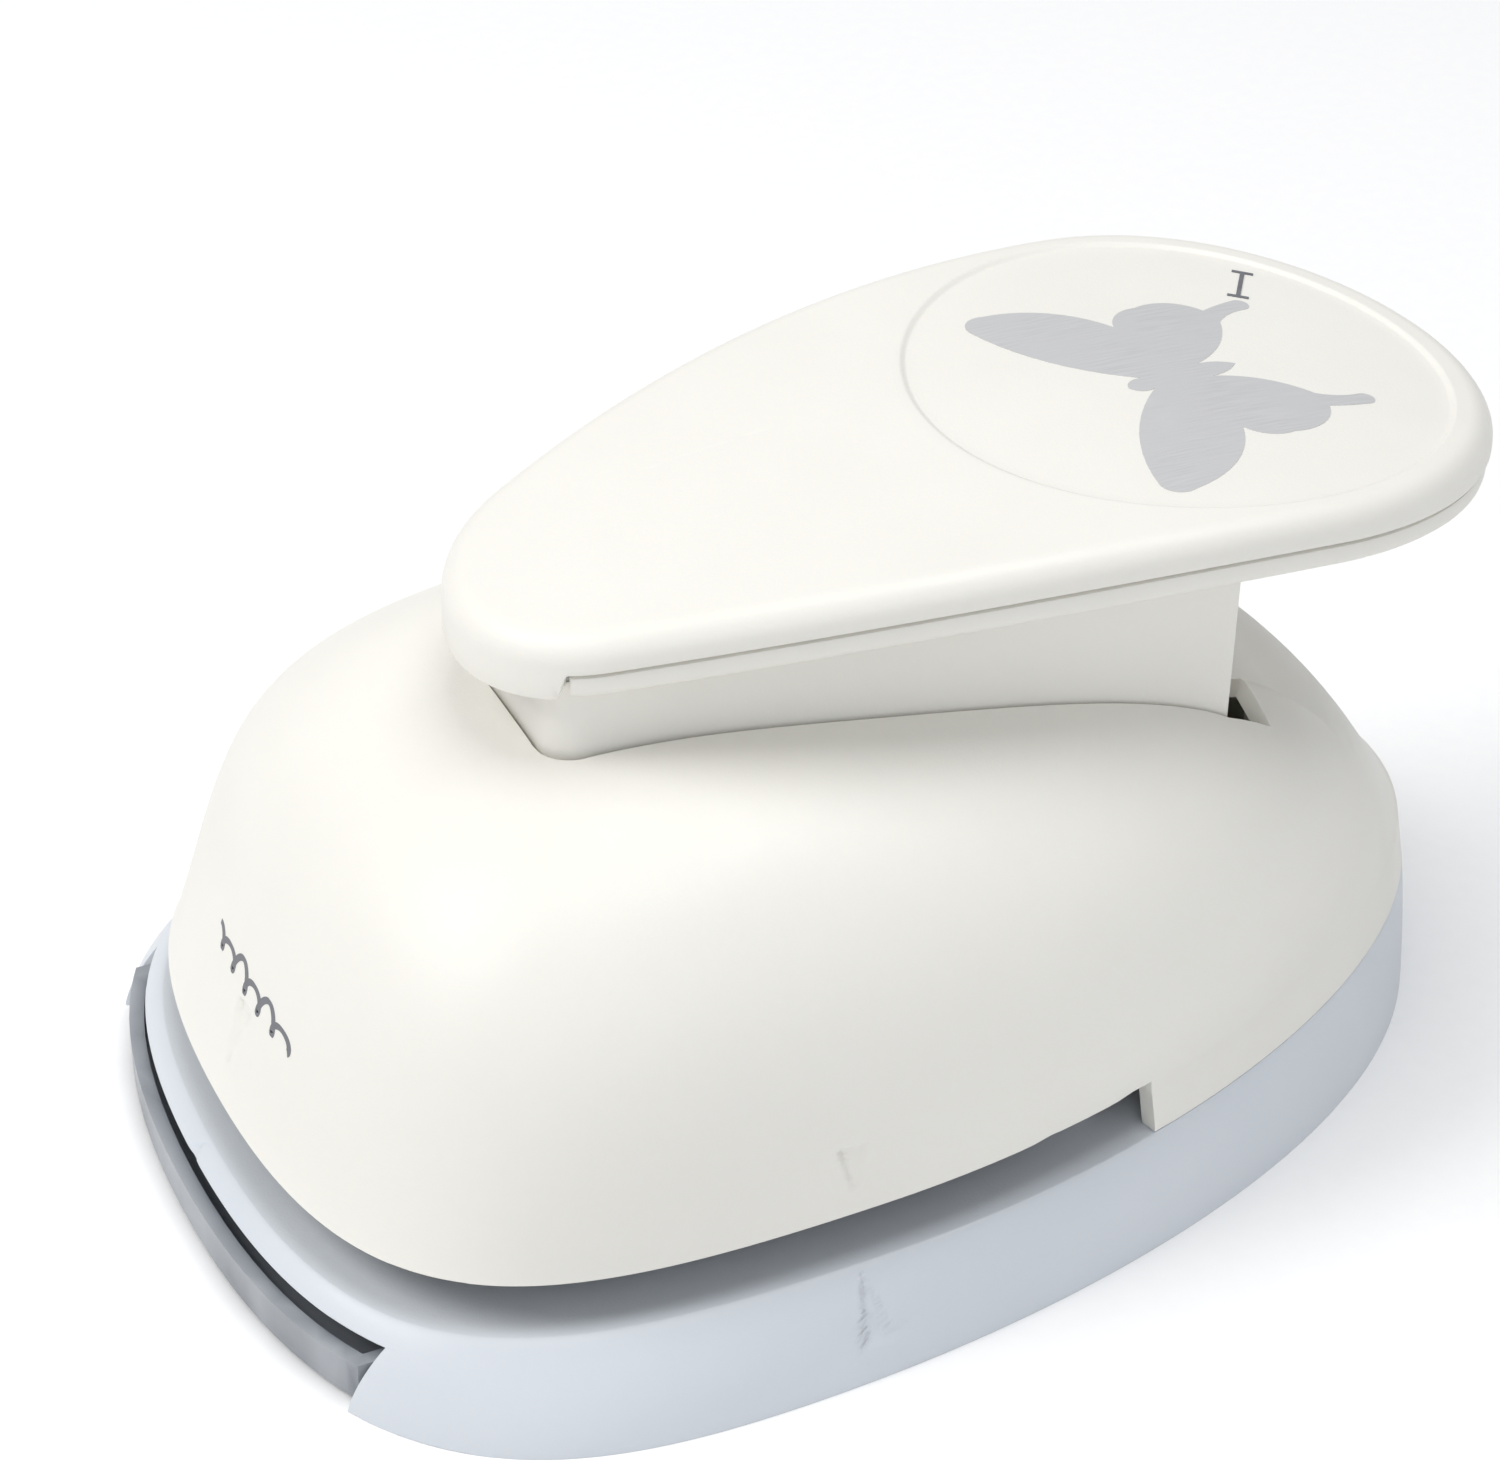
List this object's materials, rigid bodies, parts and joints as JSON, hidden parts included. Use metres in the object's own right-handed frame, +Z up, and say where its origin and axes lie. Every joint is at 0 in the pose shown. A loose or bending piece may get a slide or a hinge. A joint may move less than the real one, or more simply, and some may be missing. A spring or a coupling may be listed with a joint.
{
  "type": "craft punch",
  "caption": "Table-top paper punch: domed cover over a low base, long teardrop lever with a butterfly motif, 2 inch butterfly die, sprung lever and swing-down chip tray.",
  "frame": {"origin": "on the table under the middle of the whole object's box", "axes": "+Z up, -Y towards the front throat where the paper goes in, +X to the right seen from the front; the YZ plane is the mirror plane"},
  "size_m": [0.11, 0.1509, 0.0763],
  "materials": {
    "ivory_plastic": "satin",
    "base_plastic": "satin",
    "tray_plastic": "satin",
    "inner_plastic": "matte",
    "silver_foil": "brushed",
    "grey_print": "matte",
    "tool_steel": "ground",
    "cast_zinc": "as cast",
    "screw_steel": "zinc plated",
    "spring_steel": "drawn wire"
  },
  "bodies": {
    "root": {"base_shell": "base_plastic", "cover_shell": "ivory_plastic", "die_plate": "tool_steel", "die_screws": "screw_steel", "spacer_bar": "tool_steel", "guide_block": "cast_zinc", "frame_screws": "screw_steel", "guide_posts": "tool_steel", "return_spring_left": "spring_steel", "return_spring_right": "spring_steel", "pivot_pin": "tool_steel", "pin_clips": "screw_steel", "cover_screws": "screw_steel"},
    "lever": {"lever_body": "ivory_plastic", "lever_cap": "ivory_plastic", "lever_screws": "screw_steel", "motif_foil": "silver_foil", "size_mark": "grey_print"},
    "punch": {"punch_die": "tool_steel", "plunger": "inner_plastic", "plunger_screws": "screw_steel"},
    "tray": {"chip_tray": "tray_plastic"}
  },
  "joints": [
    {"name": "lever_hinge", "type": "hinge", "parent": "root", "child": "lever", "pos_m": [0, -0.05275, 0.0314], "axis": [-1, 0, 0], "range_deg": [0, 9.5], "stiffness_Nm_per_rad": 2, "springref_deg": -11.46},
    {"name": "punch_slide", "type": "slide", "parent": "root", "child": "punch", "axis": [0, 0.0349, -0.9994], "range_m": [0, 0.0058], "deforming": ["return_spring_left", "return_spring_right"]},
    {"name": "tray_hinge", "type": "hinge", "parent": "root", "child": "tray", "pos_m": [0, 0.06, 0.0036], "axis": [1, 0, 0], "range_deg": [0, 75]}
  ],
  "couplings": [
    {"joint": "punch_slide", "follows": "lever_hinge", "m_per_rad": 0.034}
  ]
}
